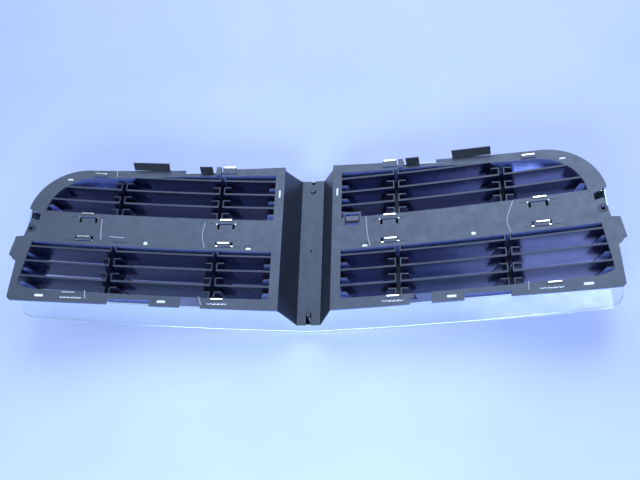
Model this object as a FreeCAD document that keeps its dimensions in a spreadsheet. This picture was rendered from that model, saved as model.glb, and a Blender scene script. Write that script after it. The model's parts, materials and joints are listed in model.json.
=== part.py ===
"""Front grille of a full-size car: a bright surround and crossbars on two black louvred inserts.

Frame: +X to the car's left, +Y to the rear, +Z up. The origin is midway between the two end fixing
holes, in the plane of the rear faces of their bosses. Every part of the left half is also mirrored
to the right half.
"""
import FreeCAD, Part
import math
import os

import Sketcher
from FreeCAD import Placement, Rotation, Vector

# Driving dimensions in millimetres, angles in degrees. "swept" depths are measured forwards from
# the rear face of the inserts, which is a cylinder about an upright axis behind the grille.
DIMENSIONS = {
    # plan shape
    "fixing_half_span": 559.0,
    "sweep_radius": 3642.0,
    "sweep_axis_offset": 140.0,
    "row_rise": 0.025,
    # insert plate
    "plate": 3.0,
    "stile_inner": 51.0,
    "stile_outer": 70.0,
    "top_inner": 157.0,
    "top_outer_x": 455.0,
    "top_outer_z": 142.5,
    "corner_radius": 112.0,
    "corner_end_x": 571.0,
    "corner_end_z": 44.0,
    "notch_x": 546.0,
    "notch_top": 32.0,
    "notch_bottom": 18.0,
    "bottom_inner": -166.5,
    "bottom_middle_x": 203.0,
    "bottom_middle_z": -162.0,
    "bottom_far_x": 385.0,
    "bottom_far_z": -158.0,
    "bottom_outer_x": 575.5,
    "bottom_outer_z": -157.2,
    "ear_x": 590.0,
    "ear_top": -20.7,
    "ear_tip": -61.8,
    "ear_foot": -73.6,
    # openings
    "upper_top": 137.0,
    "upper_mid_x": 263.0,
    "upper_mid_z": 134.0,
    "upper_corner_x": 440.0,
    "upper_corner_z": 123.0,
    "upper_corner_radius": 91.0,
    "upper_outer": 538.0,
    "band_top": 30.0,
    "band_bottom": -41.0,
    "lower_outer_top": 552.0,
    "lower_outer": 561.0,
    "lower_bottom": -143.0,
    # louvres
    "louver_depth": 58.0,
    "louver_rear": 4.0,
    "louver_front": 2.4,
    "louver_drop": 4.0,
    "upper_louver_a": 122.0,
    "upper_louver_b": 90.0,
    "upper_louver_c": 59.0,
    "lower_louver_a": -52.0,
    "lower_louver_b": -84.0,
    "lower_louver_c": -116.5,
    "column_inner": 182.0,
    "column_outer": 388.0,
    "column_gap": 8.0,
    "column_wall": 2.2,
    "notch_depth": 45.0,
    "shelf": 13.0,
    "shelf_spread": 0.28,
    "opening_wall": 2.2,
    # centre channel
    "channel_half": 23.5,
    "channel_depth": 129.0,
    "channel_top": 159.5,
    "channel_bottom": -172.0,
    "strip_wall": 3.0,
    "screw_top": 134.0,
    "screw_bottom": -151.0,
    # bright trim
    "shell_depth": 100.0,
    "shell_wall": 3.0,
    "shell_corner": 28.0,
    "rim_thickness": 5.0,
    "bar_wall": 2.5,
    "bar_middle": -1.5,
    "bar_rear_height": 58.0,
    "bar_front_height": 44.0,
    "bar_crown": 7.0,
    "bar_overhang": 6.0,
    # fixings
    "fixing_radius": 4.5,
    "boss_radius": 9.0,
    "boss_length": 14.0,
    "screw_radius": 2.4,
    "head_radius": 6.0,
    "hook_width": 24.0,
    "hook_wall": 3.0,
    "hook_proud": 2.5,
    "hook_leg": 9.0,
}

doc = FreeCAD.newDocument("front_grille")
sheet = doc.addObject("Spreadsheet::Sheet", "dims")
for row, (alias, value) in enumerate(DIMENSIONS.items(), start=1):
    sheet.set(f"A{row}", alias)
    sheet.set(f"B{row}", str(value))
    sheet.setAlias(f"B{row}", alias)
doc.recompute()

EXPORTED = []
HIGH, LOW = 230.0, -230.0          # reach of the cutting tools above and below the grille
REACH_X = 700.0
REACH_FRONT, REACH_REAR = 220.0, 90.0

# How far the bright surround's outline stands outside the plates' outline at the side, top and
# bottom: on the plane y = REAR_PLANE, on the plane y = FRONT_PLANE, and round its open mouth.
REAR_PLANE, REAR_GROWTH = 20.0, (-9.2, -8.9, -12.3)
FRONT_PLANE, FRONT_GROWTH = -180.0, (52.8, 7.1, 11.7)
MOUTH_GROWTH = (-8.0, -12.0, -10.0)


def size(alias):
    return float(sheet.get(alias))


def number(expression):
    """The value of an expression in the sheet's names."""
    return float(sheet.evalExpression(str(expression)))


def bound(expression):
    """The same expression as another object has to write it."""
    text = str(expression)
    for alias in sorted(DIMENSIONS, key=len, reverse=True):
        text = text.replace(alias, f"<{list(DIMENSIONS).index(alias)}>")
    for place, alias in enumerate(DIMENSIONS):
        text = text.replace(f"<{place}>", f"dims.{alias}")
    return text


def bind(thing, **expressions):
    for name, expression in expressions.items():
        thing.setExpression(name, bound(expression))
    return thing


def export(thing, label):
    """Marks a finished sub-part: its label is the name of its file."""
    thing.Label = label
    EXPORTED.append(thing)
    return thing


# ---------------------------------------------------------------- sketches and tools

FACE_ON = Rotation(Vector(1, 0, 0), 90)     # a sketch's x, y become the grille's X, Z
FIXING_REACH = size("fixing_half_span") + size("sweep_axis_offset")
SWEEP_Y = math.sqrt(size("sweep_radius") ** 2 - FIXING_REACH ** 2)


def rear_y(x):
    """Y of the inserts' rear face at a distance x from the centre line."""
    return SWEEP_Y - math.sqrt(size("sweep_radius") ** 2 - (abs(x) + size("sweep_axis_offset")) ** 2)


def rear_angle(x):
    """The turn about Z, in degrees, of the rear face at x on the left half."""
    return math.degrees(math.asin((x + size("sweep_axis_offset")) / size("sweep_radius")))


def outline(name, points, placement=None):
    """A closed sketch. A point is (x, y), or (x, y, radius) where the edge to it is an arc that
    bulges outwards; coordinates and radii are expressions."""
    sketch = doc.addObject("Sketcher::SketchObject", name)
    fill_sketch(sketch, points)
    sketch.Placement = placement or Placement(Vector(), FACE_ON)
    return sketch


def fill_sketch(sketch, points):
    spots = [Vector(number(p[0]), number(p[1]), 0) for p in points]
    turning = sum(a.x * b.y - b.x * a.y for a, b in zip(spots, spots[1:] + spots[:1]))
    for place, spot in enumerate(spots):
        before = spots[place - 1]
        if len(points[place]) == 3:
            sketch.addGeometry(bulge(before, spot, number(points[place][2]), turning < 0))
        else:
            sketch.addGeometry(Part.LineSegment(before, spot))
    for place, point in enumerate(points):
        end = 2
        arc = len(point) == 3
        if arc and turning < 0:
            end = 1
        following = (place + 1) % len(points)
        start = 2 if len(points[following]) == 3 and turning < 0 else 1
        sketch.addConstraint(Sketcher.Constraint("Coincident", place, end, following, start))
        for kind, coordinate in (("DistanceX", point[0]), ("DistanceY", point[1])):
            index = sketch.addConstraint(Sketcher.Constraint(kind, -1, 1, place, end, number(coordinate)))
            sketch.setExpression(f"Constraints[{index}]", bound(coordinate))
        if arc:
            index = sketch.addConstraint(Sketcher.Constraint("Radius", place, number(point[2])))
            sketch.setExpression(f"Constraints[{index}]", bound(point[2]))


def bulge(start, end, radius, clockwise):
    """The shorter arc between two points that bulges away from the inside of the outline."""
    chord = end - start
    side = Vector(-chord.y, chord.x, 0).normalize() * (1 if clockwise else -1)
    middle = (start + end) * 0.5
    sagitta = radius - math.sqrt(radius ** 2 - (chord.Length / 2) ** 2)
    return Part.Arc(start, middle + side * sagitta, end)


def prism(name, sketch):
    """A face-on sketch extruded right through the grille."""
    tool = doc.addObject("Part::Extrusion", name)
    tool.Base = sketch
    tool.DirMode = "Custom"
    tool.Dir = Vector(0, 1, 0)
    tool.LengthFwd = REACH_REAR
    tool.LengthRev = REACH_FRONT
    tool.Solid = True
    return tool


def block(name, x, z, width, height, front=REACH_FRONT, rear=REACH_REAR):
    """A box cutter centred on x, z."""
    box = doc.addObject("Part::Box", name)
    box.Length, box.Width, box.Height = width, front + rear, height
    box.Placement = Placement(Vector(x - width / 2, -front, z - height / 2), Rotation())
    return box


def boolean(kind, name, first, second):
    result = doc.addObject(f"Part::{kind}", name)
    result.Base, result.Tool = first, second
    return result


def together(kind, name, members):
    """Part::MultiFuse, Part::MultiCommon or Part::Compound of the members."""
    result = doc.addObject(f"Part::{kind}", name)
    if kind == "Compound":
        result.Links = members
    else:
        result.Shapes = members
    return result


def drum(name, depth):
    """A tall sector of a cylinder whose wall lies a swept depth in front of the rear face."""
    sector = doc.addObject("Part::Cylinder", name)
    sector.Height, sector.Angle = HIGH - LOW, 14.0
    axis_foot = Vector(-size("sweep_axis_offset"), SWEEP_Y, LOW)
    sector.Placement = Placement(axis_foot, Rotation(Vector(0, 0, 1), -90))
    return bind(sector, Radius=f"sweep_radius + ({depth})")


def swept_layer(name, rear_depth, front_depth):
    """All of the left half that lies between two swept depths."""
    return boolean("Cut", name, drum(name + "_front", front_depth), drum(name + "_rear", rear_depth))


def mirrored(name, source):
    copy = doc.addObject("Part::Mirroring", name)
    copy.Source = source
    copy.Normal = Vector(1, 0, 0)
    return copy


def both_halves(name, half):
    """Joins the part of a left-half layer that lies at x > 0 to its mirror image."""
    side = doc.addObject("Part::Box", name + "_side")
    side.Length, side.Width, side.Height = REACH_X, REACH_FRONT + REACH_REAR, HIGH - LOW
    side.Placement = Placement(Vector(0, -REACH_FRONT, LOW), Rotation())
    kept = boolean("Common", name + "_half", half, side)
    return together("MultiFuse", name, [kept, mirrored(name + "_mirror", kept)])


def export_pair(left, label):
    """Exports a left-half sub-part and its mirror image."""
    export(left, label + "_left")
    right = mirrored(label + "_right", left)
    return export(right, label + "_right")


# ---------------------------------------------------------------- bodies

def origin_plane(body, role):
    return next(plane for plane in body.Origin.OriginFeatures if plane.Role == role)


def body_sketch(body, name, role, points):
    sketch = body.newObject("Sketcher::SketchObject", name)
    sketch.AttachmentSupport = [(origin_plane(body, role), "")]
    sketch.MapMode = "FlatFace"
    fill_sketch(sketch, points)
    return sketch


def new_body(name):
    return doc.addObject("PartDesign::Body", name)


def swept_placement(height, start_x):
    """Places a body whose own Z axis is the sweep axis: it starts at start_x and rises outwards."""
    pivot = Vector(size("stile_outer"), 0, 0)
    rise = Rotation(Vector(0, -1, 0), math.degrees(math.atan(size("row_rise"))))
    about_pivot = Placement(pivot, rise) * Placement(-pivot, Rotation())
    centre = Placement(Vector(-size("sweep_axis_offset"), SWEEP_Y, 0), Rotation())
    turn = Placement(Vector(), Rotation(Vector(0, 0, 1), rear_angle(start_x)))
    return Placement(Vector(0, 0, height), Rotation()) * about_pivot * centre * turn


def swept_body(name, section, height, start_x, end_x):
    """A section, in swept depth (negative forwards) and height, carried round the sweep axis."""
    body = new_body(name)
    sketch = body_sketch(body, name + "_section", "YZ_Plane", section)
    turned = body.newObject("PartDesign::Revolution", name + "_sweep")
    turned.Profile = sketch
    turned.ReferenceAxis = (sketch, ["V_Axis"])
    turned.Angle = rear_angle(end_x) - rear_angle(start_x)
    sketch.Visibility = False
    body.Placement = swept_placement(height, start_x)
    return body


def at_depth(expression):
    """A section's horizontal coordinate at a swept depth."""
    return f"-sweep_radius - ({expression})"


# ---------------------------------------------------------------- insert plates

def insert_outline():
    return outline("insert_outline", [
        ("stile_inner", "bottom_inner"),
        ("bottom_middle_x", "bottom_middle_z"),
        ("bottom_far_x", "bottom_far_z"),
        ("bottom_outer_x - 6.5", "bottom_outer_z"),
        ("bottom_outer_x", "bottom_outer_z + 6.2"),
        ("bottom_outer_x - 1", "ear_foot"),
        ("ear_x - 6.3", "ear_tip - 4.1", "11"),
        ("ear_x", "ear_tip"),
        ("ear_x - 5.5", "ear_top"),
        ("corner_end_x - 1", "ear_top + 2"),
        ("corner_end_x - 8", "notch_bottom + 4"),
        ("notch_x + 1.5", "notch_bottom"),
        ("notch_x", "notch_top"),
        ("corner_end_x", "corner_end_z"),
        ("top_outer_x", "top_outer_z", "corner_radius"),
        ("stile_inner", "top_inner"),
    ])


def upper_opening():
    rise = "row_rise * (upper_outer - stile_outer)"
    return outline("upper_opening", [
        ("stile_outer", "band_top"),
        ("upper_outer", f"band_top + {rise}"),
        ("upper_corner_x", "upper_corner_z", "upper_corner_radius"),
        ("upper_mid_x", "upper_mid_z"),
        ("stile_outer", "upper_top"),
    ])


def lower_opening():
    return outline("lower_opening", [
        ("stile_outer", "lower_bottom"),
        ("lower_outer - 34", "lower_bottom + 0.9 * row_rise * (lower_outer - stile_outer)"),
        ("lower_outer", "lower_bottom + 21", "60"),
        ("lower_outer", "lower_bottom + 36"),
        ("lower_outer_top", "band_bottom + row_rise * (lower_outer_top - stile_outer)"),
        ("stile_outer", "band_bottom"),
    ])


# Where the bright trim snaps through the left plate: the centre of each catch (x, z), the height at
# which its leg starts on the trim's wall, and whether its slot is open upwards.
HOOK_ROWS = {
    "upper_border": [(169.5, 156.5, 149.5, 1), (441.5, 134.5, 136.0, 0)],
    "band_top": [(167.5, 30.6, 28.5, 1), (453.0, 38.2, 35.5, 1)],
    "band_bottom": [(169.0, -21.8, -27.0, 0), (454.0, -14.3, -19.5, 0)],
    "lower_border": [(171.0, -143.3, -159.0, 1), (461.0, -137.1, -150.0, 1)],
}
# Tongues of the plate beside the crossbar's catches: (x, height of the free end, way to the root).
TONGUES = [(166.5, 21.2, -1), (449.0, 29.2, -1), (167.5, -30.2, 1), (451.0, -23.0, 1)]
TONGUE_SLOT = (4.6, 12.5)           # width and height of the slot on each side of a tongue
TONGUE_SPREAD = 15.5
TONGUE_END = 2.4
# Plain rectangular holes of the left plate: (x, z, width, height).
PLATE_HOLES = [
    (516.5, -144.5, 18.0, 6.5),     # lower border
    (279.5, -149.5, 18.0, 6.5),
    (170.0, -152.6, 44.0, 3.2),     # lower border, below the catches
    (455.0, -146.8, 44.0, 3.2),
    (327.0, -24.5, 9.0, 8.0),       # band
    (117.5, -33.5, 12.0, 6.0),
    (60.5, 93.0, 4.5, 20.0),        # stile beside the channel
    (503.0, 118.0, 13.0, 5.0),      # outer corner
    (231.5, 150.5, 65.0, 20.0),     # recess in the upper edge, and the slot that runs on from it
    (269.7, 142.6, 16.0, 4.2),
    (185.5, 149.0, 3.0, 13.0),      # slit beside the post
    (226.5, -149.0, 33.0, 26.0),    # stepped cut-out in the lower edge
    (222.5, -158.0, 41.0, 18.0),
    (343.5, -156.0, 83.0, 18.0),    # recess in the lower edge
]
LEFT_SLOT = (375.0, -24.0, 32.0, 2.4)           # a slot that only the left plate has
# Raised blocks of the left plate: (x, z, width, height, front depth, how far it stands out behind).
PLATE_BLOCKS = [
    (192.0, 146.0, 10.0, 18.0, 3.0, 6.0),       # post in the upper border
    (169.5, 148.5, 29.0, 13.0, 3.0, 3.0),       # pad below the inner upper catch
    (441.5, 129.3, 29.0, 4.0, 3.0, 3.0),        # pad below the outer upper catch
    (343.5, -145.8, 83.0, 2.4, 18.0, 0.0),      # flange along the lower recess
]
LATCH_WINDOW = (-92.0, 26.0, 30.0, 26.0)        # x, z, width, height
LATCH_FRAME = (-92.0, 26.5, 36.0, 31.0, 10.0, 0.5)


def tongue_slots(name, x, z, way):
    """The gap at the free end of a tongue and the slot on each side of it."""
    slots = [block(f"{name}_end", x, z, 2 * TONGUE_SPREAD, TONGUE_END)]
    middle = z + way * (TONGUE_SLOT[1] - TONGUE_END) / 2
    for side in (-1, 1):
        slots.append(block(f"{name}_{'ab'[side > 0]}", x + side * TONGUE_SPREAD, middle, *TONGUE_SLOT))
    return slots


def hook_cutters():
    """The slots of one plate for the catches and around the tongues."""
    width, height, clearance = size("hook_width"), size("hook_wall"), 0.3
    cutters = []
    for row, stations in HOOK_ROWS.items():
        for place, (x, z, _root, open_up) in enumerate(stations):
            tall = height + 2 * clearance + open_up * height
            slot_z = z + open_up * height / 2
            cutters.append(block(f"slot_{row}_{place}", x, slot_z, width + 2 * clearance, tall))
    for place, tongue in enumerate(TONGUES):
        cutters += tongue_slots(f"tongue_{place}", *tongue)
    return cutters


def plate_block(name, x, z, width, height, front, proud):
    """A block on a plate, square to its rear face at x."""
    solid = doc.addObject("Part::Box", name)
    solid.Length, solid.Width, solid.Height = width, front + proud, height
    turn = Rotation(Vector(0, 0, 1), math.copysign(rear_angle(abs(x)), x))
    corner = Placement(Vector(-width / 2, -front, -height / 2), Rotation())
    solid.Placement = Placement(Vector(x, rear_y(x), z), turn) * corner
    return solid


def fixing_cylinder(name, start_y, **sizes):
    """A cylinder along the left fixing hole's axis, forwards from start_y."""
    solid = doc.addObject("Part::Cylinder", name)
    solid.Height = REACH_FRONT
    solid.Placement = Placement(Vector(size("fixing_half_span"), start_y, 0), Rotation(Vector(1, 0, 0), 90))
    return bind(solid, **sizes)


def insert_plates(upper, lower):
    layer = swept_layer("plate_layer", "0", "plate")
    blank = boolean("Common", "plate_blank", layer, prism("plate_prism", insert_outline()))
    behind_boss = fixing_cylinder("boss_clearance", REACH_REAR, Radius="boss_radius", Height=str(REACH_REAR))
    boss = fixing_cylinder("fixing_boss", 0.0, Radius="boss_radius", Height="boss_length")
    bore = fixing_cylinder("fixing_bore", REACH_REAR / 2, Radius="fixing_radius")
    blocks = [plate_block(f"plate_block_{place}", *row) for place, row in enumerate(PLATE_BLOCKS)]
    solid = together("MultiFuse", "plate_with_blocks", [blank] + blocks)
    holes = [block(f"plate_hole_{place}", *hole) for place, hole in enumerate(PLATE_HOLES)]
    cutters = together("Compound", "plate_cutters", [upper, lower, behind_boss] + holes + hook_cutters())
    pierced = boolean("Cut", "plate_pierced", solid, cutters)
    bossed = together("MultiFuse", "plate_bossed", [pierced, boss])
    plate = boolean("Cut", "plate_bored", bossed, bore)
    export(boolean("Cut", "insert_plate_left", plate, block("left_slot", *LEFT_SLOT)), "insert_plate_left")
    frame = plate_block("latch_frame", *LATCH_FRAME)
    framed = together("MultiFuse", "plate_framed", [mirrored("plate_mirror", plate), frame])
    window = block("latch_window", *LATCH_WINDOW)
    export(boolean("Cut", "insert_plate_right", framed, window), "insert_plate_right")


# ---------------------------------------------------------------- louvres and column walls

def louver_section():
    return [
        (at_depth("louver_depth"), "-louver_drop - louver_front / 2"),
        (at_depth("0"), "-louver_rear / 2"),
        (at_depth("0"), "louver_rear / 2"),
        (at_depth("louver_depth"), "-louver_drop + louver_front / 2"),
    ]


COLUMNS = ("column_inner", "column_outer")


def column_space(name, opening):
    """The three clear columns of an opening, without the uprights between them."""
    width = size("column_gap") + 2 * size("column_wall")
    walls = [block(f"{name}_{place}", size(column), 0, width, HIGH - LOW)
             for place, column in enumerate(COLUMNS)]
    return boolean("Cut", name, opening, together("Compound", name + "_walls", walls))


def louvers(row, opening, heights):
    blades = [swept_body(f"{row}_blade_{place}", louver_section(), size(height), 60.0, 590.0)
              for place, height in enumerate(heights)]
    stack = together("Compound", f"{row}_blades", blades)
    space = column_space(f"{row}_columns", opening)
    export_pair(boolean("Common", f"{row}_louvers_left", stack, space), f"{row}_louvers")


def bays(heights, top, bottom, x):
    """(floor, ceiling) of the four bays of an opening at x, from the lowest upwards."""
    lift = size("row_rise") * (x - size("stile_outer"))
    levels = [bottom + lift] + [size(alias) + lift for alias in heights] + [top + lift]
    return list(zip(levels, levels[1:]))


def shelf(name, x, z, facing):
    """A level shelf on the side of an upright, wider towards the front."""
    wide = "shelf + shelf_spread * louver_depth"
    plan = outline(name + "_plan", [(0, 0), ("shelf", 0), (wide, "-louver_depth"), (0, "-louver_depth")],
                   Placement())
    solid = doc.addObject("Part::Extrusion", name)
    solid.Base, solid.DirMode, solid.Dir, solid.Solid = plan, "Custom", Vector(0, 0, 1), True
    bind(solid, LengthFwd="column_wall")
    if facing < 0:
        solid = mirrored(name + "_mirror", solid)
    solid.Placement = Placement(Vector(x, rear_y(x), z), Rotation())
    return solid


def wall_plate(name, x, steps):
    """An upright wall at x, cut back deeply between each shelf and the louvre above it."""
    depth, notch, face = size("louver_depth"), size("notch_depth"), rear_y(x)
    spots = [(face - depth, LOW), (face, LOW)]
    for shelf_z, above in steps:
        spots += [(face, shelf_z), (face - notch, shelf_z), (face - notch, above), (face, above)]
    spots += [(face, HIGH), (face - depth, HIGH)]
    body = new_body(name)
    sketch = body_sketch(body, name + "_side", "YZ_Plane", spots)
    pad = body.newObject("PartDesign::Pad", name + "_pad")
    pad.Profile = sketch
    pad.Midplane = True
    bind(pad, Length="column_wall")
    sketch.Visibility = False
    body.Placement = Placement(Vector(x, 0, 0), Rotation())
    return body


def shelf_steps(heights, top, bottom, x):
    """(shelf height, underside of the louvre above) of every bay that is tall enough for a shelf."""
    steps = []
    for floor, ceiling in bays(heights, top, bottom, x):
        if ceiling - floor > 2 * size("shelf"):
            steps.append(((floor + ceiling) / 2, ceiling - size("louver_rear") / 2))
    return steps


def upright(name, x, heights, top, bottom):
    """Two walls closed by a plate at the front, with shelves on both sides."""
    wall, gap, depth = size("column_wall"), size("column_gap"), size("louver_depth")
    steps = shelf_steps(heights, top, bottom, x)
    pieces = []
    for facing in (-1, 1):
        centre = x + facing * (gap + wall) / 2
        pieces.append(wall_plate(f"{name}_{'ab'[facing > 0]}", centre, steps))
        face_x = x + facing * (gap / 2 + wall)
        for place, (shelf_z, _above) in enumerate(steps):
            pieces.append(shelf(f"{name}_shelf_{place}{'ab'[facing > 0]}", face_x, shelf_z - wall, facing))
    closer = doc.addObject("Part::Box", name + "_front")
    closer.Length, closer.Width, closer.Height = gap + 2 * wall, wall, HIGH - LOW
    closer.Placement = Placement(Vector(x - gap / 2 - wall, rear_y(x) - depth, LOW), Rotation())
    return together("MultiFuse", name, pieces + [closer])


def column_walls(row, opening, heights, top, bottom):
    """The uprights between the three columns. heights run from the lowest louvre upwards."""
    uprights = [upright(f"{row}_upright_{place}", size(column), heights, top, bottom)
                for place, column in enumerate(COLUMNS)]
    rough = together("Compound", f"{row}_uprights", uprights)
    export_pair(boolean("Common", f"{row}_column_walls_left", rough, opening), f"{row}_column_walls")


def opening_walls(row, sketch, opening, keep_above, heights, top, bottom, end_x):
    """The wall that runs forwards round the top and ends of an opening, with stubs of the shelves."""
    grown = doc.addObject("Part::Offset2D", f"{row}_wall_outline")
    grown.Source, grown.Join = sketch, "Intersection"
    bind(grown, Value="opening_wall")
    ring = boolean("Cut", f"{row}_ring", prism(f"{row}_ring_prism", grown), opening)
    layer = swept_layer(f"{row}_wall_layer", "plate", "louver_depth")
    swept_ring = boolean("Common", f"{row}_swept_ring", ring, layer)
    lift = size("row_rise") * REACH_X
    above = outline(f"{row}_wall_region", [
        (0, keep_above), (REACH_X, keep_above + lift), (REACH_X, HIGH), (0, HIGH)])
    kept = boolean("Common", f"{row}_kept_ring", swept_ring, prism(f"{row}_wall_space", above))
    stubs = []
    for place, (x, facing) in enumerate(((size("stile_outer"), 1), (end_x, -1))):
        for level, (shelf_z, _above) in enumerate(shelf_steps(heights, top, bottom, x)):
            stubs.append(shelf(f"{row}_stub_{place}{level}", x, shelf_z - size("column_wall"), facing))
    inside = boolean("Common", f"{row}_stubs", together("Compound", f"{row}_all_stubs", stubs), opening)
    export_pair(together("MultiFuse", f"{row}_opening_walls_left", [kept, inside]), f"{row}_opening_walls")


# ---------------------------------------------------------------- centre channel

def side_cut(name, points):
    """A cutter with the given outline, in Y and Z, right through the channel from side to side."""
    sketch = outline(name + "_side", points, Placement(Vector(-100, 0, 0), Rotation(Vector(1, 1, 1), 120)))
    cut = doc.addObject("Part::Extrusion", name)
    cut.Base, cut.DirMode, cut.Dir = sketch, "Custom", Vector(1, 0, 0)
    cut.LengthFwd, cut.Solid = 200.0, True
    return cut


def centre_channel():
    """The upright channel: a strip at the back of a trough whose walls reach the plates."""
    wall, half, edge = size("strip_wall"), size("channel_half"), size("stile_inner")
    back, face = -size("channel_depth"), rear_y(edge)
    top, bottom = size("channel_top"), size("channel_bottom")
    side_wall = wall * 1.6                  # a side wall's thickness along Y
    inner = half + wall * (edge - half) / (face - back) - 1.5
    half_plan = [(edge, face), (half, back), (-half, back), (-edge, face)]
    body = new_body("channel_body")
    sketch = body_sketch(body, "channel_plan", "XY_Plane", half_plan + [
        (-edge, face - side_wall), (-inner, back - wall), (inner, back - wall), (edge, face - side_wall)])
    pad = body.newObject("PartDesign::Pad", "channel_pad")
    pad.Profile = sketch
    bind(pad, Length="channel_top - channel_bottom")
    sketch.Visibility = False
    body.Placement = Placement(Vector(0, 0, bottom), Rotation())
    # The side walls are shorter than the strip: their ends run back to the plates.
    cutters = [
        side_cut("channel_foot", [
            (back + 6, bottom - 20), (REACH_REAR, bottom - 20), (REACH_REAR, size("bottom_inner")),
            (face - 12, size("bottom_inner")), (back + 6, bottom + 2)]),
        side_cut("channel_head", [
            (back + 2, top + 20), (back + 2, top - 1), (face - 4, size("top_inner") - 10),
            (face + 1, size("top_inner") - 2), (REACH_REAR, size("top_inner") - 2), (REACH_REAR, top + 20)]),
        block("channel_slot", 0, bottom + 10, 11.0, 26.0),
        block("channel_notch", 0, top, 6.5, 18.0),
    ]
    for name, z, radius in (("upper_screw_hole", "screw_top", "screw_radius + 0.2"),
                            ("lower_screw_hole", "screw_bottom", "screw_radius + 0.2"),
                            ("locating_hole", "screw_bottom + 141", "2")):
        hole = doc.addObject("Part::Cylinder", name)
        hole.Height = REACH_FRONT
        hole.Placement = Placement(Vector(0, 0, number(z)), Rotation(Vector(1, 0, 0), 90))
        cutters.append(bind(hole, Radius=radius))
    tools = together("Compound", "channel_cutters", cutters)
    export(boolean("Cut", "center_channel_cut", body, tools), "center_channel")


def screw(name, height):
    """A pan-head screw from behind through the channel strip into the centre bar's post."""
    body = new_body(name)
    seat = size("channel_depth")
    crown, shoulder, shank, tip = seat - 4.2, seat - 2.2, seat + 21.0, seat + 24.0
    radius, head = "screw_radius", "head_radius"
    sketch = body_sketch(body, name + "_section", "XY_Plane", [
        (0, crown), (head + " - 1.6", crown), (head, shoulder), (head, seat),
        (radius, seat), (radius, shank), (0, tip)])
    turned = body.newObject("PartDesign::Revolution", name + "_turned")
    turned.Profile = sketch
    turned.ReferenceAxis = (sketch, ["V_Axis"])
    turned.Angle = 360.0
    sketch.Visibility = False
    doc.recompute()
    recess = body.newObject("Sketcher::SketchObject", name + "_recess")
    recess.AttachmentSupport = [(origin_plane(body, "XZ_Plane"), "")]
    recess.MapMode = "FlatFace"
    arm, half, drive_depth = 3.2, 0.7, 2.4
    cross = [(half, half), (arm, half), (arm, -half), (half, -half), (half, -arm), (-half, -arm),
             (-half, -half), (-arm, -half), (-arm, half), (-half, half), (-half, arm), (half, arm)]
    fill_sketch(recess, cross)
    recess.AttachmentOffset = Placement(Vector(0, 0, -crown), Rotation())
    pocket = body.newObject("PartDesign::Pocket", name + "_drive")
    pocket.Profile = recess
    pocket.Length = drive_depth
    recess.Visibility = False
    doc.recompute()
    if turned.Shape.Volume - pocket.Shape.Volume < drive_depth:
        pocket.Reversed = not pocket.Reversed
    body.Placement = Placement(Vector(0, 0, height), Rotation(Vector(0, 0, 1), 180))
    return body


# ---------------------------------------------------------------- bright trim

def surround_outline(name, growth, inset="0"):
    """Closed outline of the surround, outside the plates' outline by the growth less the inset."""
    side, top, bottom = (f"({amount}) - ({inset})" for amount in growth)
    corner_x, corner_z = f"corner_end_x + {side}", f"bottom_outer_z - 0.8 - ({bottom})"
    left = [
        (f"{corner_x} - shell_corner", corner_z),
        (corner_x, f"{corner_z} + shell_corner", "shell_corner"),
        (corner_x, "corner_end_z"),
        ("top_outer_x", f"top_outer_z + {top}", f"corner_radius + {side}"),
    ]
    mirror = [(f"-({point[0]})", point[1]) for point in left]
    right = [mirror[3], mirror[2] + (left[3][2],), mirror[1], mirror[0] + (left[1][2],)]
    foot, crown = ("0", f"bottom_inner - 1 - ({bottom})"), ("0", f"top_inner + 1 + {top}")
    return outline(name, [foot] + left + [crown] + right)


def loft(name, sections):
    solid = doc.addObject("Part::Loft", name)
    solid.Sections = sections
    solid.Solid = True
    solid.Ruled = True
    return solid


def flared(name, inset):
    """The space inside the surround's flared wall, which widens towards the front."""
    rear = surround_outline(name + "_rear", REAR_GROWTH, inset)
    front = surround_outline(name + "_front", FRONT_GROWTH, inset)
    rear.Placement = Placement(Vector(0, REAR_PLANE, 0), FACE_ON)
    front.Placement = Placement(Vector(0, FRONT_PLANE, 0), FACE_ON)
    return loft(name, [rear, front])


def upright_extrusion(name, points):
    """A plan extruded over the full height."""
    solid = doc.addObject("Part::Extrusion", name)
    solid.Base = outline(name + "_plan", points, Placement(Vector(0, 0, LOW), Rotation()))
    solid.DirMode, solid.Dir, solid.Solid = "Custom", Vector(0, 0, 1), True
    solid.LengthFwd = HIGH - LOW
    return solid


def channel_gap():
    """The space of the centre channel, where the surround's walls are cut away."""
    clear, half, edge = 0.5, size("channel_half"), size("stile_inner")
    back, face = -size("channel_depth") - size("strip_wall"), rear_y(edge)
    plan = [
        (-edge - clear, REACH_REAR), (-edge - clear, face - 5), (-half - clear, back),
        (half + clear, back), (edge + clear, face - 5), (edge + clear, REACH_REAR)]
    return upright_extrusion("channel_gap", plan)


def surround():
    """A flared wall behind a front rim, in one piece right round the grille."""
    body_layer = both_halves("surround_layer", swept_layer("surround_band", "plate", "shell_depth"))
    hollow_band = swept_layer("hollow_band", "-40", "shell_depth - rim_thickness")
    hollow_layer = both_halves("hollow_layer", hollow_band)
    outer = boolean("Common", "surround_outer", body_layer, flared("surround_wall", "0"))
    hollow = boolean("Common", "surround_hollow", hollow_layer, flared("surround_inside", "shell_wall"))
    mouth = prism("surround_mouth", surround_outline("mouth_outline", MOUTH_GROWTH))
    tools = together("Compound", "surround_tools", [mouth, channel_gap()])
    open_rim = boolean("Cut", "surround_open", outer, tools)
    return boolean("Cut", "surround", open_rim, hollow), mouth


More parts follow.
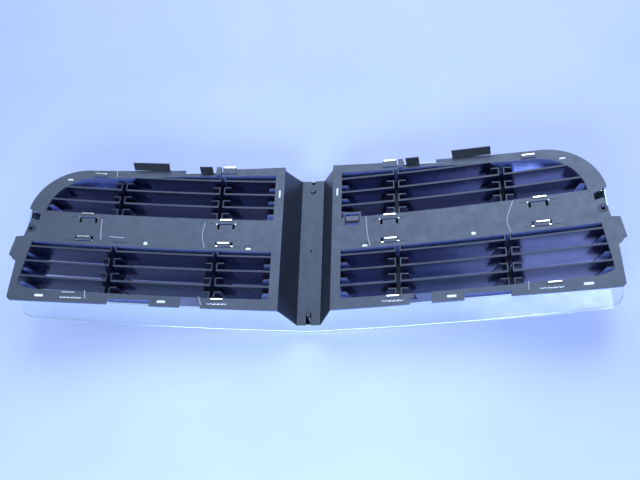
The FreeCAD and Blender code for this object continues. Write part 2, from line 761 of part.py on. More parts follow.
def bar_section():
    """Section of a horizontal bar: a shell with a crowned front, open to the rear."""
    wall, rear, front = "bar_wall", "bar_rear_height / 2", "bar_front_height / 2"
    nose, crown = "shell_depth - 6", "shell_depth - 6 + bar_crown"
    return [
        (at_depth("plate + 0.3"), f"-({rear})"),
        (at_depth("plate + 0.3"), f"-({rear}) + {wall}"),
        (at_depth(f"{nose} - {wall}"), f"-({front}) + {wall}"),
        (at_depth(f"{crown} - {wall}"), "-bar_front_height / 6"),
        (at_depth(f"{crown} - {wall}"), "bar_front_height / 6"),
        (at_depth(f"{nose} - {wall}"), f"{front} - {wall}"),
        (at_depth("plate + 0.3"), f"{rear} - {wall}"),
        (at_depth("plate + 0.3"), rear),
        (at_depth(nose), front),
        (at_depth(crown), "bar_front_height / 5"),
        (at_depth(crown), "-bar_front_height / 5"),
        (at_depth(nose), f"-({front})"),
    ]


def channel_envelope():
    """The space of the centre channel and the upright bar, which the crossbars stop short of."""
    clear, half, edge = 0.5, size("channel_half"), size("stile_inner")
    back, face = -size("channel_depth"), rear_y(edge)
    side = half + size("bar_overhang") + clear
    return upright_extrusion("channel_envelope", [
        (-edge - clear, face), (-edge - clear, face - 6), (-side, back - 2), (-side, -REACH_FRONT),
        (side, -REACH_FRONT), (side, back - 2), (edge + clear, face - 6), (edge + clear, face)])


def crossbars(mouth):
    bar = swept_body("bar_sweep", bar_section(), size("bar_middle"), 30.0, 595.0)
    trimmed = boolean("Common", "bar_trimmed", bar, mouth)
    left = export(boolean("Cut", "crossbar_cut", trimmed, channel_envelope()), "crossbar_left")
    x, z, width, height = LATCH_WINDOW
    reach = size("louver_depth") / 2 - rear_y(x)
    room = block("latch_room", x, z, width + 12, height + 12, front=reach)
    export(boolean("Cut", "crossbar_right", mirrored("crossbar_mirror", left), room), "crossbar_right")


def vertical_bar(mouth):
    """The upright bar on the nose, with two posts for the channel screws."""
    half = size("channel_half") + size("bar_overhang")
    wall, back = size("bar_wall"), -size("channel_depth") - size("strip_wall")
    nose = rear_y(0) - size("shell_depth") + 6.0
    crown = nose - size("bar_crown") - 2.0
    body = new_body("vertical_bar")
    flat = half * 0.45                  # half the width of the flat on its front
    inside, inner_nose = half - wall, nose + wall * 0.6
    plan = [(half, back), (half, nose), (flat, crown), (-flat, crown), (-half, nose), (-half, back),
            (-inside, back), (-inside, inner_nose), (-flat, crown + wall),
            (flat, crown + wall), (inside, inner_nose), (inside, back)]
    sketch = body_sketch(body, "vertical_bar_plan", "XY_Plane", plan)
    pad = body.newObject("PartDesign::Pad", "vertical_bar_pad")
    pad.Profile, pad.Length, pad.Midplane = sketch, HIGH - LOW, True
    sketch.Visibility = False
    trimmed = boolean("Common", "vertical_bar_trimmed", body, mouth)
    posts, bores = [], []
    post_sizes = ((posts, "5.0", back - crown - wall / 2), (bores, "screw_radius", 22.0))
    for place, height in enumerate(("screw_top", "screw_bottom")):
        for store, radius, reach in post_sizes:
            post = doc.addObject("Part::Cylinder", f"post_{place}_{len(store)}_{radius[0]}")
            post.Height = reach
            post.Placement = Placement(Vector(0, back, size(height)), Rotation(Vector(1, 0, 0), 90))
            store.append(bind(post, Radius=radius))
    solid = together("MultiFuse", "vertical_bar_posts", [trimmed] + posts)
    bored = boolean("Cut", "vertical_bar_bored", solid, together("Compound", "post_bores", bores))
    export(bored, "center_bar")


def hook_profile(z, root):
    """Side view of a catch and its leg, in depth from the plate's rear face and height."""
    low, high = z - size("hook_wall") / 2, z + size("hook_wall") / 2
    foot_low, foot_high = min(low, root), max(high, root)
    start, front = -size("plate") - 0.3, -size("hook_leg")
    spots = [(front, foot_low), (start, foot_low), (start, low), (size("hook_proud"), low),
             (size("hook_proud"), high), (start, high), (start, foot_high), (front, foot_high)]
    return [spot for place, spot in enumerate(spots) if spot != spots[place - 1]]


def hooks(row, stations):
    members = []
    for place, (x, z, root, _open_up) in enumerate(stations):
        solid = doc.addObject("Part::Extrusion", f"hook_{row}_{place}")
        solid.Base = outline(f"hook_{row}_{place}_side", hook_profile(z, root), Placement())
        solid.DirMode, solid.Dir, solid.Solid = "Custom", Vector(0, 0, 1), True
        solid.Symmetric = True
        bind(solid, LengthFwd="hook_width")
        upright_turn = Rotation(Vector(0, 0, 1), rear_angle(x)) * Rotation(Vector(1, 1, 1), 120)
        solid.Placement = Placement(Vector(x, rear_y(x), 0), upright_turn)
        members += [solid, mirrored(f"hook_{row}_{place}_mirror", solid)]
    export(together("Compound", f"{row}_hooks", members), f"{row}_hooks")


# ---------------------------------------------------------------- small parts

# Thin flags behind the upper border: (x, z, width, depth, lean in degrees).
SEAL_TABS = {
    "wide_seal_tab": (334.0, 146.0, 76.0, 20.0, 18.0),
    "narrow_seal_tab": (217.0, 142.0, 27.0, 19.0, 10.0),
}
SEAL_TAB_WALL = 2.5


def seal_tab(name, x, z, width, depth, lean):
    """A pair of thin flags that stand out behind the upper border."""
    tab = doc.addObject("Part::Box", name)
    tab.Length, tab.Width, tab.Height = width, depth, SEAL_TAB_WALL
    turn = Rotation(Vector(0, 0, 1), rear_angle(x)) * Rotation(Vector(1, 0, 0), lean)
    start = Placement(Vector(-width / 2, 0, 0), Rotation())
    tab.Placement = Placement(Vector(x, rear_y(x) + 1.0, z), turn) * start
    pair = together("Compound", name + "s", [tab, mirrored(name + "_mirror", tab)])
    return export(pair, name + "s")


def latch_block():
    """The small latch in the window of the right plate."""
    x, z, width, _height = LATCH_WINDOW
    depth, height, chamfer = 12.0, 10.0, 1.5
    case = doc.addObject("Part::Box", "latch_case")
    case.Length, case.Width, case.Height = width - 2, depth, height
    turn = Rotation(Vector(0, 0, 1), -rear_angle(-x))
    centre = Placement(Vector(1 - width / 2, -depth - 1, 0), Rotation())
    case.Placement = Placement(Vector(x, rear_y(x), z - 2), turn) * centre
    edge = doc.addObject("Part::Chamfer", "latch_block")
    edge.Base = case
    doc.recompute()
    upright_edges = [place for place, line in enumerate(case.Shape.Edges, start=1)
                     if abs(line.tangentAt(line.FirstParameter).z) > 0.9]
    edge.Edges = [(place, chamfer, chamfer) for place in upright_edges]
    export(edge, "latch_block")


LOWER_WALL_FOOT = size("lower_bottom") + 30.0
UPPER_LOUVERS = ("upper_louver_c", "upper_louver_b", "upper_louver_a")
LOWER_LOUVERS = ("lower_louver_c", "lower_louver_b", "lower_louver_a")

upper_sketch, lower_sketch = upper_opening(), lower_opening()
upper_prism, lower_prism = prism("upper_space", upper_sketch), prism("lower_space", lower_sketch)
insert_plates(upper_prism, lower_prism)
louvers("upper", upper_prism, UPPER_LOUVERS)
louvers("lower", lower_prism, LOWER_LOUVERS)
upper_span = (UPPER_LOUVERS, size("upper_top"), size("band_top"))
lower_span = (LOWER_LOUVERS, size("band_bottom"), size("lower_bottom"))
column_walls("upper", upper_prism, *upper_span)
column_walls("lower", lower_prism, *lower_span)
opening_walls("upper", upper_sketch, upper_prism, size("band_top"), *upper_span, size("upper_outer"))
opening_walls("lower", lower_sketch, lower_prism, LOWER_WALL_FOOT, *lower_span, size("lower_outer"))
centre_channel()
screws = [screw("upper_screw", size("screw_top")), screw("lower_screw", size("screw_bottom"))]
export(together("Compound", "center_screws", screws), "center_screws")
shell, mouth_prism = surround()
export(shell, "chrome_surround")
crossbars(mouth_prism)
vertical_bar(mouth_prism)
for row_name, row_stations in HOOK_ROWS.items():
    hooks(row_name, row_stations)
for tab_name, tab_sizes in SEAL_TABS.items():
    seal_tab(tab_name, *tab_sizes)
latch_block()
doc.recompute()

for thing in doc.Objects:
    if "Invalid" in thing.State or "Error" in thing.State:
        raise RuntimeError(f"{thing.Name} failed: {thing.State}")
for part in EXPORTED:
    if part.Shape.isNull() or not part.Shape.isValid():
        raise RuntimeError(f"{part.Label} has no valid shape")
os.makedirs("parts", exist_ok=True)
for part in EXPORTED:
    box = part.Shape.BoundBox
    print(f"{part.Label:24s} solids {len(part.Shape.Solids):3d} volume {part.Shape.Volume:11.0f}"
          f" sizes {box.XLength:.1f} {box.YLength:.1f} {box.ZLength:.1f}")
    part.Shape.exportStep(f"parts/{part.Label}.step")
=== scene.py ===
"""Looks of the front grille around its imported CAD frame, in metres and in the frame's own axes.

+X is the left of the car, +Y its rear and +Z up. The grille lies on its nose, so the floor is a
plane across Y.
"""
import json
import math

import bmesh
import bpy
from mathutils import Matrix, Vector


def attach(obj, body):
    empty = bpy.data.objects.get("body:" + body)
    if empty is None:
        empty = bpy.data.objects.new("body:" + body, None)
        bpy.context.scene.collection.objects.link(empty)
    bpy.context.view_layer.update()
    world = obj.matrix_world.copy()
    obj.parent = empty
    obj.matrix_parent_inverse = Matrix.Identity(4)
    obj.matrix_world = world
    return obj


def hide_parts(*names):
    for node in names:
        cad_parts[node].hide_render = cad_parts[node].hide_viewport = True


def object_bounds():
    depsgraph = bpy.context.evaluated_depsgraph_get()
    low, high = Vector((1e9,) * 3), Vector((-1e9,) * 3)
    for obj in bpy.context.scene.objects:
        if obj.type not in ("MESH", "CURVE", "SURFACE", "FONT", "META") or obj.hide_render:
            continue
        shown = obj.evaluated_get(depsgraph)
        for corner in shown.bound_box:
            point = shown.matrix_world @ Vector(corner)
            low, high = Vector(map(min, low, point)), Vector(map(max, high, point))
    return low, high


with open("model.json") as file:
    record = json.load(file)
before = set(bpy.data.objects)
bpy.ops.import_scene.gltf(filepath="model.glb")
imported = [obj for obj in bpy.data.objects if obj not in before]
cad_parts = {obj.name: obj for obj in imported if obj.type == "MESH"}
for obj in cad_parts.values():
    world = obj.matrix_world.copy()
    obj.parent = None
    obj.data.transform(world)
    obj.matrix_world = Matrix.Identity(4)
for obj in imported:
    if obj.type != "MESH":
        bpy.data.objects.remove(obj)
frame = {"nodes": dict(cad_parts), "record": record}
cad_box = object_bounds()

BODY = "root"
MM = 0.001
low = Vector(cad_box[0])

# The sweep of the plates' rear face: a cylinder about an upright axis behind the grille, in metres.
SWEEP_RADIUS = 3.642
SWEEP_AXIS_OFFSET = 0.140
FIXING_HALF_SPAN = 0.559
SWEEP_Y = math.sqrt(SWEEP_RADIUS ** 2 - (FIXING_HALF_SPAN + SWEEP_AXIS_OFFSET) ** 2)


def rear_y(x, depth=0.0):
    """Y of the surface that lies a swept depth in front of the plates' rear face."""
    return SWEEP_Y - math.sqrt((SWEEP_RADIUS + depth) ** 2 - (abs(x) + SWEEP_AXIS_OFFSET) ** 2)


# ---------------------------------------------------------------- materials

class Nodes:
    """A small helper that adds nodes to a material and joins them."""

    def __init__(self, name):
        self.material = bpy.data.materials.new(name)
        self.material.use_nodes = True
        self.tree = self.material.node_tree
        self.shader = self.tree.nodes["Principled BSDF"]
        self.coords = self.add("ShaderNodeTexCoord").outputs["Object"]

    def add(self, kind, inputs=None, **settings):
        node = self.tree.nodes.new(kind)
        for key, value in settings.items():
            setattr(node, key, value)
        for key, value in (inputs or {}).items():
            self.put(node.inputs[key], value)
        return node

    def put(self, socket, value):
        if isinstance(value, bpy.types.NodeSocket):
            self.tree.links.new(value, socket)
        else:
            socket.default_value = value

    def noise(self, scale, detail=4.0, roughness=0.5, stretch=None):
        vector = self.coords
        if stretch:
            vector = self.add("ShaderNodeMapping", {"Vector": vector, "Scale": stretch}).outputs["Vector"]
        inputs = {"Vector": vector, "Scale": scale, "Detail": detail, "Roughness": roughness}
        return self.add("ShaderNodeTexNoise", inputs).outputs["Fac"]

    def ramp(self, factor, dark, light, at=(0.3, 0.7)):
        node = self.add("ShaderNodeValToRGB", {"Fac": factor})
        for element, place, colour in zip(node.color_ramp.elements, at, (dark, light)):
            element.position = place
            element.color = (*colour, 1.0)
        return node.outputs["Color"]

    def between(self, factor, least, most, start=0.3, end=0.7):
        inputs = {"Value": factor, "From Min": start, "From Max": end, "To Min": least, "To Max": most}
        return self.add("ShaderNodeMapRange", inputs).outputs["Result"]

    def bump(self, height, strength, distance, normal=None):
        inputs = {"Height": height, "Strength": strength, "Distance": distance}
        if normal is not None:
            inputs["Normal"] = normal
        return self.add("ShaderNodeBump", inputs).outputs["Normal"]

    def finish(self, **sockets):
        for name, value in sockets.items():
            self.put(self.shader.inputs[name.replace("_", " ")], value)
        return self.material


def moulded(name, dark, light, rough, tint, grain=0.25, specular=0.5):
    """Injection-moulded black plastic: cloudy colour, fine grain, flow marks and handling wear."""
    n = Nodes(name)
    cloud = n.noise(9.0, 5.0, 0.6)
    wear = n.noise(55.0, 6.0, 0.7)
    flow = n.noise(16.0, 3.0, 0.5, stretch=(0.25, 1.0, 1.6))
    fine = n.noise(1100.0, 2.0)
    n.shader.inputs["Specular Tint"].default_value = (*tint, 1.0)
    n.shader.inputs["Specular IOR Level"].default_value = specular
    return n.finish(
        Base_Color=n.ramp(cloud, dark, light),
        Roughness=n.between(wear, *rough),
        Normal=n.bump(fine, grain, 0.0002, n.bump(flow, 0.12, 0.0006)),
    )


def plated(name, tint, rough=(0.05, 0.11), ripple=0.05):
    """Bright plating over a moulding: slight haze, and the moulding's own waviness under it."""
    n = Nodes(name)
    haze = n.noise(35.0, 5.0, 0.6)
    wave = n.noise(24.0, 2.0)
    pits = n.noise(600.0, 2.0)
    return n.finish(
        Base_Color=n.ramp(haze, [0.93 * c for c in tint], tint),
        Metallic=1.0,
        Roughness=n.between(haze, *rough),
        Normal=n.bump(pits, 0.05, 0.0001, n.bump(wave, ripple, 0.002)),
    )


# Specular tints: the blue, pale and violet ones paint the blue colour of the light onto the reflections; the
# white one leaves them untinted.
BLUE_SHEEN = (0.66, 0.77, 1.0)
PALE_SHEEN = (0.6, 0.75, 1.0)
VIOLET_SHEEN = (0.42, 0.5, 1.0)
WHITE_SHEEN = (1.0, 1.0, 1.0)
plate_black = moulded("plate_black", (0.02, 0.025, 0.045), (0.034, 0.04, 0.064), (0.4, 0.54),
                      BLUE_SHEEN, specular=1.0)
# A lighter, rougher copy of the blade black for faces that look to the rear: painted light on the rear edges
# of the blades, column walls and opening walls.
lit_rear_black = moulded("lit_rear_black", (0.02, 0.024, 0.04), (0.03, 0.036, 0.056), (0.4, 0.54),
                     BLUE_SHEEN, specular=0.7)
# The blade black for the other faces of the blades, column walls and opening walls: darker and glossier,
# with a navy base and a violet sheen tint that paint blue light and shade on the undersides.
blade_black = moulded("blade_black", (0.005, 0.007, 0.03), (0.009, 0.012, 0.046), (0.16, 0.26),
                      VIOLET_SHEEN, 0.04, specular=0.4)
# Stands for the blue light on the undersides of walls that are black like the rest.
ceiling_blue = moulded("ceiling_blue", (0.1, 0.14, 0.5), (0.13, 0.18, 0.6), (0.2, 0.3),
                       PALE_SHEEN, 0.04, specular=1.0)
# Painted light: a pale colour that stands for whatever looks bright behind the plates' slots.
slot_light_white = moulded("slot_light_white", (0.62, 0.68, 0.8), (0.8, 0.86, 0.95), (0.25, 0.4), WHITE_SHEEN, 0.1)
channel_black = moulded("channel_black", (0.012, 0.016, 0.03), (0.02, 0.026, 0.045), (0.36, 0.48),
                        BLUE_SHEEN, specular=0.8)
tab_black = moulded("tab_black", (0.022, 0.025, 0.04), (0.035, 0.04, 0.06), (0.5, 0.65), BLUE_SHEEN)
latch_grey = moulded("latch_grey", (0.09, 0.085, 0.14), (0.13, 0.12, 0.19), (0.35, 0.5), BLUE_SHEEN)
# A pale grey for the thin raised lines on the plates.
pale_line_grey = moulded("pale_line_grey", (0.3, 0.34, 0.45), (0.42, 0.46, 0.6), (0.4, 0.55), BLUE_SHEEN)
chrome = plated("bright_plating", (0.88, 0.92, 0.95))
# A dull, darker copy of the plating: painted shade on the surround's rear faces and on the line along its
# lip.
shaded_plating = plated("shaded_plating", (0.3, 0.38, 0.52), (0.35, 0.5), 0.02)
screw_zinc = plated("screw_zinc", (0.07, 0.075, 0.1), (0.3, 0.45), 0.0)

FINISH = {
    "insert_plastic": plate_black, "channel_plastic": channel_black, "bright_trim": chrome,
    "screw_steel": screw_zinc, "tab_plastic": tab_black, "latch_plastic": latch_grey,
}
BLADE_NODES = ("louvers", "column_walls")


# ---------------------------------------------------------------- CAD nodes with rounded edges

def show(name, mesh, material):
    """Adds a mesh as a piece of the grille."""
    piece = bpy.data.objects.new(name, mesh)
    piece.data.materials.clear()
    piece.data.materials.append(material)
    bpy.context.scene.collection.objects.link(piece)
    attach(piece, BODY)
    return piece


def with_modifiers(mesh, modifiers):
    """The mesh after (kind, settings) modifiers."""
    draft = bpy.data.objects.new("draft", mesh)
    bpy.context.scene.collection.objects.link(draft)
    for kind, settings in modifiers:
        modifier = draft.modifiers.new(kind.lower(), kind)
        for key, value in settings.items():
            setattr(modifier, key, value)
    finished = bpy.data.meshes.new_from_object(draft.evaluated_get(bpy.context.evaluated_depsgraph_get()))
    bpy.data.objects.remove(draft)
    return finished


def shaded(mesh, angle=28.0):
    """Smooth shading with sharp edges, in which large faces keep their own normals."""
    mesh.polygons.foreach_set("use_smooth", [True] * len(mesh.polygons))
    mesh.set_sharp_from_angle(angle=math.radians(angle))
    return with_modifiers(mesh, [("WEIGHTED_NORMAL", {"keep_sharp": True, "weight": 90})])


def rounded(node_name, width, material, rear_material=None, under_material=None):
    """A copy of a CAD node with its sharp edges rounded off, which stands for the node. Faces that
    look to the rear or downwards may have materials of their own, which paint light and shade
    on them according to which way they face."""
    form = bmesh.new()
    form.from_mesh(frame["nodes"][node_name].data)
    bmesh.ops.remove_doubles(form, verts=form.verts, dist=0.00001)
    bmesh.ops.dissolve_limit(form, angle_limit=math.radians(0.15), verts=form.verts, edges=form.edges)
    mesh = bpy.data.meshes.new(node_name + "_form")
    form.to_mesh(mesh)
    form.free()
    bevelled = with_modifiers(mesh, [("BEVEL", {
        "width": width, "segments": 2, "limit_method": "ANGLE", "angle_limit": math.radians(40),
        "use_clamp_overlap": True})])
    piece = show(node_name + "_rounded", shaded(bevelled), material)
    piece.data.materials.append(rear_material or material)
    piece.data.materials.append(under_material or material)
    for face in piece.data.polygons:
        if face.normal.y > REAR_FACING:
            face.material_index = 1
        elif face.normal.z < -DOWN_FACING:
            face.material_index = 2
    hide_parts(node_name)
    return piece


EDGE_WIDTH = 0.5 * MM
REAR_FACING, DOWN_FACING = 0.6, 0.8
# Faces looking to the rear get a lighter black on the blades, column walls and opening walls, as painted
# light, and a dull blue-grey plating on the surround, as painted shade; faces looking down on the plates and
# opening walls get a blue that stands for the light on them.
for part in frame["record"]["subparts"]:
    name, slot = part["node"], part["material_slot"]
    if "opening_walls" in name:
        rounded(name, EDGE_WIDTH, blade_black, lit_rear_black, ceiling_blue)
    elif name.startswith("insert_plate"):
        rounded(name, EDGE_WIDTH, plate_black, under_material=ceiling_blue)
    elif any(word in name for word in BLADE_NODES):
        rounded(name, EDGE_WIDTH, blade_black, lit_rear_black)
    elif name == "chrome_surround":
        rounded(name, EDGE_WIDTH, chrome, shaded_plating)
    elif slot != "screw_steel":
        rounded(name, EDGE_WIDTH, FINISH[slot])
    else:
        frame["nodes"][name].data.materials.clear()
        frame["nodes"][name].data.materials.append(FINISH[slot])


# ---------------------------------------------------------------- beads: raised lines, rings and lips

BEAD_SIDES = 8


def bead(name, path, radius, material, closed=False):
    """A round bead along a path of points."""
    form = bmesh.new()
    rings = []
    count = len(path)
    for place, point in enumerate(path):
        before = path[place - 1] if closed or place else point
        after = path[(place + 1) % count] if closed or place < count - 1 else point
        along = (after - before).normalized()
        across = along.cross(Vector((0, 1, 0))).normalized()
        out = across.cross(along)
        ring = []
        for step in range(BEAD_SIDES):
            angle = 2 * math.pi * step / BEAD_SIDES
            spoke = math.cos(angle) * across + math.sin(angle) * out
            ring.append(form.verts.new(point + radius * spoke))
        rings.append(ring)
    pairs = list(zip(rings, rings[1:] + rings[:1])) if closed else list(zip(rings, rings[1:]))
    for first, second in pairs:
        for step in range(BEAD_SIDES):
            following = (step + 1) % BEAD_SIDES
            form.faces.new((first[step], first[following], second[following], second[step]))
    if not closed:
        form.faces.new(rings[0][::-1])
        form.faces.new(rings[-1])
    bmesh.ops.recalc_face_normals(form, faces=form.faces)
    mesh = bpy.data.meshes.new(name)
    form.to_mesh(mesh)
    form.free()
    mesh.polygons.foreach_set("use_smooth", [True] * len(mesh.polygons))
    mesh.set_sharp_from_angle(angle=math.radians(50))
    return show(name, mesh, material)


def on_plate(x, z, lift=0.0):
    """A point on the plates' rear face, x and z in millimetres."""
    return Vector((x * MM, rear_y(x * MM) + lift, z * MM))


def curve_through(points, steps=8):
    """Points of a smooth curve through (x, z) points, in millimetres."""
    ends = [points[0]] + list(points) + [points[-1]]
    found = []
    for p0, p1, p2, p3 in zip(ends, ends[1:], ends[2:], ends[3:]):
        for step in range(steps):
            t = step / steps
            found.append(tuple(
                0.5 * (2 * b + (c - a) * t + (2 * a - 5 * b + 4 * c - d) * t * t
                       + (3 * b - a - 3 * c + d) * t ** 3)
                for a, b, c, d in zip(p0, p1, p2, p3)))
    return found + [tuple(points[-1])]


def plate_line(name, points, radius, material):
    return bead(name, [on_plate(x, z) for x, z in curve_through(points)], radius * MM, material)


# Thin pale grey raised lines on the plates: (x, z) in millimetres, +x on the left plate.
PALE_LINES = [
    [(422, 28), (420, 2), (417, -20)], [(430, -131), (427, -148)], [(210, 24), (213, -5), (206, -32)],
    [(207, -138), (200, -156)], [(409, 146), (407, 129)], [(401, -12), (371, -14)],
    [(-120, 31), (-123, -10), (-128, -36)], [(-404, 36), (-390, -3), (-395, -29)],
    [(-417, -132), (-415, -148)],
]
for place, line in enumerate(PALE_LINES):
    plate_line(f"raised_pale_line_{place}", line, 0.9, pale_line_grey)

# Ridges that run outwards from each crossbar catch: (x, z of the tongue's free end, way to its root).
CATCHES = [(166.5, 21.2, -1), (449.0, 29.2, -1), (167.5, -30.2, 1), (451.0, -23.0, 1)]
TONGUE_HALF, RIDGE_LENGTH = 17.0, 15.0
for side, side_name in ((1, "left"), (-1, "right")):
    for place, (x, z, way) in enumerate(CATCHES):
        for turn in (-1, 1):
            start = side * x + turn * (TONGUE_HALF + 2)
            tail = f"{side_name}_{place}{'ab'[turn > 0]}"
            ends = [(start, z + 1), (start + turn * RIDGE_LENGTH, z + 1 + side * turn * 0.4)]
            plate_line(f"catch_ridge_{tail}", ends, 0.8, plate_black)
            if way < 0:
                glint = [(start - turn * 1.5, z + 0.5), (start + turn * 1.5, z + 0.5)]
                plate_line(f"catch_stop_{tail}", glint, 1.0, chrome)


def arch(name, x, z, radius):
    """A raised half-ring over a hole in the plates."""
    steps = 14
    points = [(x + radius * math.cos(math.pi * s / steps), z + radius * math.sin(math.pi * s / steps))
              for s in range(steps + 1)]
    return bead(name, [on_plate(*point) for point in points], 1.0 * MM, plate_black)


for side, side_name in ((1, "left"), (-1, "right")):
    arch(f"hole_arch_{side_name}", side * 117.5, -33.0, 7.0)


def ring(name, centre, radius, thickness):
    """A raised ring round a hole, across Y."""
    steps = 28
    path = [Vector(centre) + Vector((radius * math.cos(2 * math.pi * s / steps), 0.0,
                                     radius * math.sin(2 * math.pi * s / steps))) for s in range(steps)]
    return bead(name, path, thickness, plate_black, closed=True)


for side, side_name in ((1, "left"), (-1, "right")):
    ring(f"boss_ring_{side_name}", (side * FIXING_HALF_SPAN, 0.0, 0.0), 7.2 * MM, 0.9 * MM)


# ---------------------------------------------------------------- the surround's front lip

REAR_PLANE, REAR_GROWTH = 20.0, (-9.2, -8.9, -12.3)
FRONT_PLANE, FRONT_GROWTH = -180.0, (52.8, 7.1, 11.7)
SHELL_DEPTH, SHELL_CORNER = 100.0, 28.0


def arc_points(start, end, radius, steps):
    """Points of the arc from start to end that bulges to the left-hand side's outside."""
    chord = Vector(end) - Vector(start)
    middle = (Vector(start) + Vector(end)) / 2
    inward = Vector((-chord.y, chord.x)).normalized()
    centre = middle + inward * math.sqrt(radius ** 2 - (chord.length / 2) ** 2)
    first = math.atan2(start[1] - centre.y, start[0] - centre.x)
    last = math.atan2(end[1] - centre.y, end[0] - centre.x)
    if last < first:
        last += 2 * math.pi
    return [(centre.x + radius * math.cos(first + (last - first) * s / steps),
             centre.y + radius * math.sin(first + (last - first) * s / steps)) for s in range(steps + 1)]


def straight(start, end, steps):
    return [tuple(a + (b - a) * s / steps for a, b in zip(start, end)) for s in range(steps + 1)]


def surround_half(growth):
    """The left half of the surround's outline, from the bottom centre to the top centre, in mm."""
    side, top, bottom = growth
    corner_x, corner_z = 571.0 + side, -158.0 - bottom
    foot, heel = (corner_x - SHELL_CORNER, corner_z), (corner_x, corner_z + SHELL_CORNER)
    shoulder, crown = (corner_x, 44.0), (455.0, 142.5 + top)
    points = straight((0.0, -167.5 - bottom), foot, 40) + arc_points(foot, heel, SHELL_CORNER, 12)[1:]
    points += straight(heel, shoulder, 10)[1:] + arc_points(shoulder, crown, 112.0 + side, 24)[1:]
    return points + straight(crown, (0.0, 158.0 + top), 30)[1:]


def lip_path(depth, shrink):
    """The surround's outer surface at a swept depth, moved inwards by shrink, right round the grille."""
    rear, front = surround_half(REAR_GROWTH), surround_half(FRONT_GROWTH)
    half = []
    for (x0, z0), (x1, z1) in zip(rear, front):
        y = -100.0
        for _step in range(20):
            share = (REAR_PLANE - y) / (REAR_PLANE - FRONT_PLANE)
            x, z = x0 + (x1 - x0) * share, z0 + (z1 - z0) * share
            y = rear_y(x * MM, depth * MM) / MM
        half.append(Vector((x, y, z)) * MM)
    path = half + [Vector((-p.x, p.y, p.z)) for p in half[-2:0:-1]]
    count = len(path)
    inward = []
    for place, point in enumerate(path):
        along = (path[(place + 1) % count] - path[place - 1]).normalized()
        inward.append(point + along.cross(Vector((0, 1, 0))).normalized() * shrink)
    return inward


LIP_SETBACK, SHADE_LINE_SETBACK = 8.0, 12.5      # how far behind the surround's front edge they lie
lip, shade_line = lip_path(SHELL_DEPTH - LIP_SETBACK, 0.3 * MM), lip_path(SHELL_DEPTH - SHADE_LINE_SETBACK, 0.4 * MM)
# A bright plated bead along the surround's front lip, and further back a bead in the dull plating that
# paints the shadow line along the lip.
bead("front_lip", lip, 0.8 * MM, chrome, closed=True)
bead("lip_shade_line", shade_line, 0.7 * MM, shaded_plating, closed=True)


# ---------------------------------------------------------------- painted light in the bright slots

SLOT_SINK = 1.4 * MM


def slot_light_pad(name, x, z, width, height):
    """A pale pad with rounded corners and a crowned back, just inside a slot at x, z: painted light for the
    brightness seen in the slot.
    """
    radius, steps = 0.3 * min(width, height), 4
    form = bmesh.new()
    outline = []
    for quarter, (side_x, side_z) in enumerate(((1, 1), (-1, 1), (-1, -1), (1, -1))):
        for step in range(steps + 1):
            angle = math.pi / 2 * (quarter + step / steps)
            outline.append((x + side_x * (width / 2 - radius) + radius * math.cos(angle),
                            z + side_z * (height / 2 - radius) + radius * math.sin(angle)))
    rings = []
    for scale, depth in ((1.0, -2.0 * MM), (1.0, -0.4 * MM), (0.9, 0.0)):
        rings.append([
            form.verts.new(on_plate(x + (px - x) * scale, z + (pz - z) * scale, depth - SLOT_SINK))
            for px, pz in outline])
    for first, second in zip(rings, rings[1:]):
        for step in range(len(outline)):
            following = (step + 1) % len(outline)
            form.faces.new((first[step], first[following], second[following], second[step]))
    form.faces.new(rings[0][::-1])
    form.faces.new(rings[-1])
    bmesh.ops.recalc_face_normals(form, faces=form.faces)
    mesh = bpy.data.meshes.new(name)
    form.to_mesh(mesh)
    form.free()
    return show(name, shaded(mesh), slot_light_white)


# Slots of the left plate that get a pale pad of painted light: (x, z, width, height).
LIT_SLOTS = [
    (516.5, -144.5, 17.0, 5.5), (279.5, -149.5, 17.0, 5.5), (327.0, -24.5, 8.4, 7.4),
    (117.5, -33.5, 11.0, 5.0), (60.5, 93.0, 4.0, 18.0), (503.0, 118.0, 12.0, 4.4),
]
for side, side_name in ((1, "left"), (-1, "right")):
    for place, (x, z, width, height) in enumerate(LIT_SLOTS):
        slot_light_pad(f"slot_light_pad_{side_name}_{place}", side * x, z, width, height)

# Zigzag beads in the pale slot colour in the long slots of the lower border, painted glints for their bright
# serrated look: (x, z) of each middle.
GLINT_HALF, GLINT_TEETH, TOOTH = 20.0, 10, 1.2
for side, side_name in ((1, "left"), (-1, "right")):
    for place, (x, z) in enumerate([(170.0, -152.6), (455.0, -146.8)]):
        pitch = 2 * GLINT_HALF / GLINT_TEETH
        zigzag = [on_plate(side * (x - GLINT_HALF + pitch * tooth), z + (-1) ** tooth * TOOTH, -0.6 * MM)
                  for tooth in range(GLINT_TEETH + 1)]
        bead(f"slot_glint_zigzag_{side_name}_{place}", zigzag, 0.8 * MM, slot_light_white)


# ---------------------------------------------------------------- floor, light and camera

def floor_material():
    n = Nodes("floor_paint")
    mottle = n.noise(3.0, 4.0)
    n.finish(Base_Color=n.ramp(mottle, (0.46, 0.53, 0.9), (0.5, 0.57, 0.95)), Roughness=0.9)
    back = n.add("ShaderNodeNewGeometry").outputs["Backfacing"]
    clear = n.add("ShaderNodeBsdfTransparent")
    mixed = n.add("ShaderNodeMixShader", {0: back, 1: n.shader.outputs[0], 2: clear.outputs[0]})
    n.tree.links.new(mixed.outputs[0], n.tree.nodes["Material Output"].inputs["Surface"])
    return n.material


FLOOR_GAP = 2 * MM


def add_floor():
    reach = 6.0
    mesh = bpy.data.meshes.new("floor")
    corners = [(-reach, 0, -reach), (-reach, 0, reach), (reach, 0, reach), (reach, 0, -reach)]
    mesh.from_pydata(corners, [], [(0, 1, 2, 3)])
    floor = bpy.data.objects.new("floor", mesh)
    floor.location = (0.0, low.y - FLOOR_GAP, 0.0)
    floor.data.materials.append(floor_material())
    bpy.context.scene.collection.objects.link(floor)
    floor.visible_shadow = False
    return floor


add_floor()


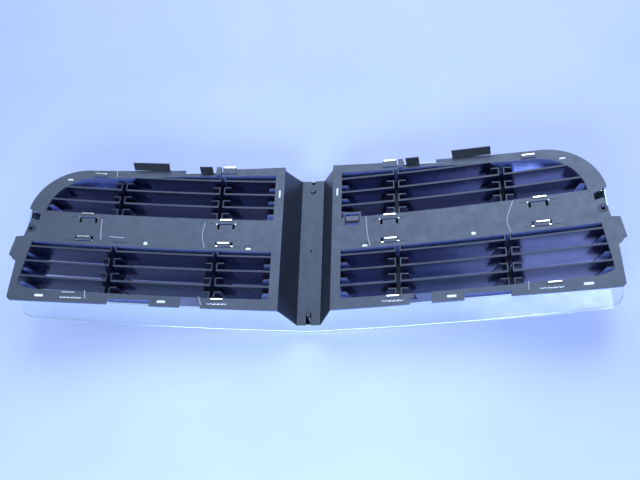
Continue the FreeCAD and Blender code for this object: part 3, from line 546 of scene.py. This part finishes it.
def add_light(name, place, size, power, colour=(1.0, 1.0, 1.0), target=(0.0, 0.0, 0.0)):
    data = bpy.data.lights.new(name, "AREA")
    data.shape = "RECTANGLE"
    data.size, data.size_y = size
    data.energy = power
    data.color = colour
    light = bpy.data.objects.new(name, data)
    light.visible_camera = False
    light.location = place
    light.rotation_euler = (Vector(target) - Vector(place)).to_track_quat("-Z", "Y").to_euler()
    bpy.context.scene.collection.objects.link(light)
    return light


add_light("key_light", (-0.4, 2.2, 1.4), (2.4, 1.6), 62.0, (0.75, 0.85, 1.0))
add_light("low_light", (0.1, 0.9, -1.2), (1.0, 0.6), 16.0, (0.8, 1.0, 0.95), (0.05, -0.17, -0.5))
add_light("violet_light", (-0.75, -0.9, -0.6), (0.6, 0.4), 22.0, (0.36, 0.46, 1.0), (-0.35, -0.05, 0.0))
add_light("front_light", (0.4, -2.2, 1.2), (2.0, 1.6), 60.0)

world = bpy.data.worlds.new("studio")
world.use_nodes = True
world.node_tree.nodes["Background"].inputs["Color"].default_value = (0.7, 0.84, 1.0, 1.0)
world.node_tree.nodes["Background"].inputs["Strength"].default_value = 0.6
bpy.context.scene.world = world
bpy.context.scene.view_settings.view_transform = "Standard"

CAMERA_PLACE = Vector((-0.20601, 1.16663, -0.62014))
CAMERA_AZIMUTH = math.radians(188.25)
CAMERA_ELEVATION = math.radians(-25.89)
CAMERA_ROLL = math.radians(1.86)
SENSOR_WIDTH = 36.0
FOCAL_LENGTH = 38.81


def add_camera():
    azimuth, elevation = CAMERA_AZIMUTH, CAMERA_ELEVATION
    back = Vector((math.sin(azimuth) * math.cos(elevation), -math.cos(azimuth) * math.cos(elevation),
                   math.sin(elevation)))
    right = Vector((math.cos(azimuth), math.sin(azimuth), 0.0))
    up = back.cross(right)
    turn = Matrix((right, up, back)).transposed() @ Matrix.Rotation(CAMERA_ROLL, 3, "Z")
    data = bpy.data.cameras.new("camera")
    data.lens = FOCAL_LENGTH
    data.sensor_width = SENSOR_WIDTH
    data.clip_end = 50.0
    camera = bpy.data.objects.new("camera", data)
    camera.matrix_world = Matrix.Translation(CAMERA_PLACE) @ turn.to_4x4()
    bpy.context.scene.collection.objects.link(camera)
    bpy.context.scene.camera = camera


add_camera()
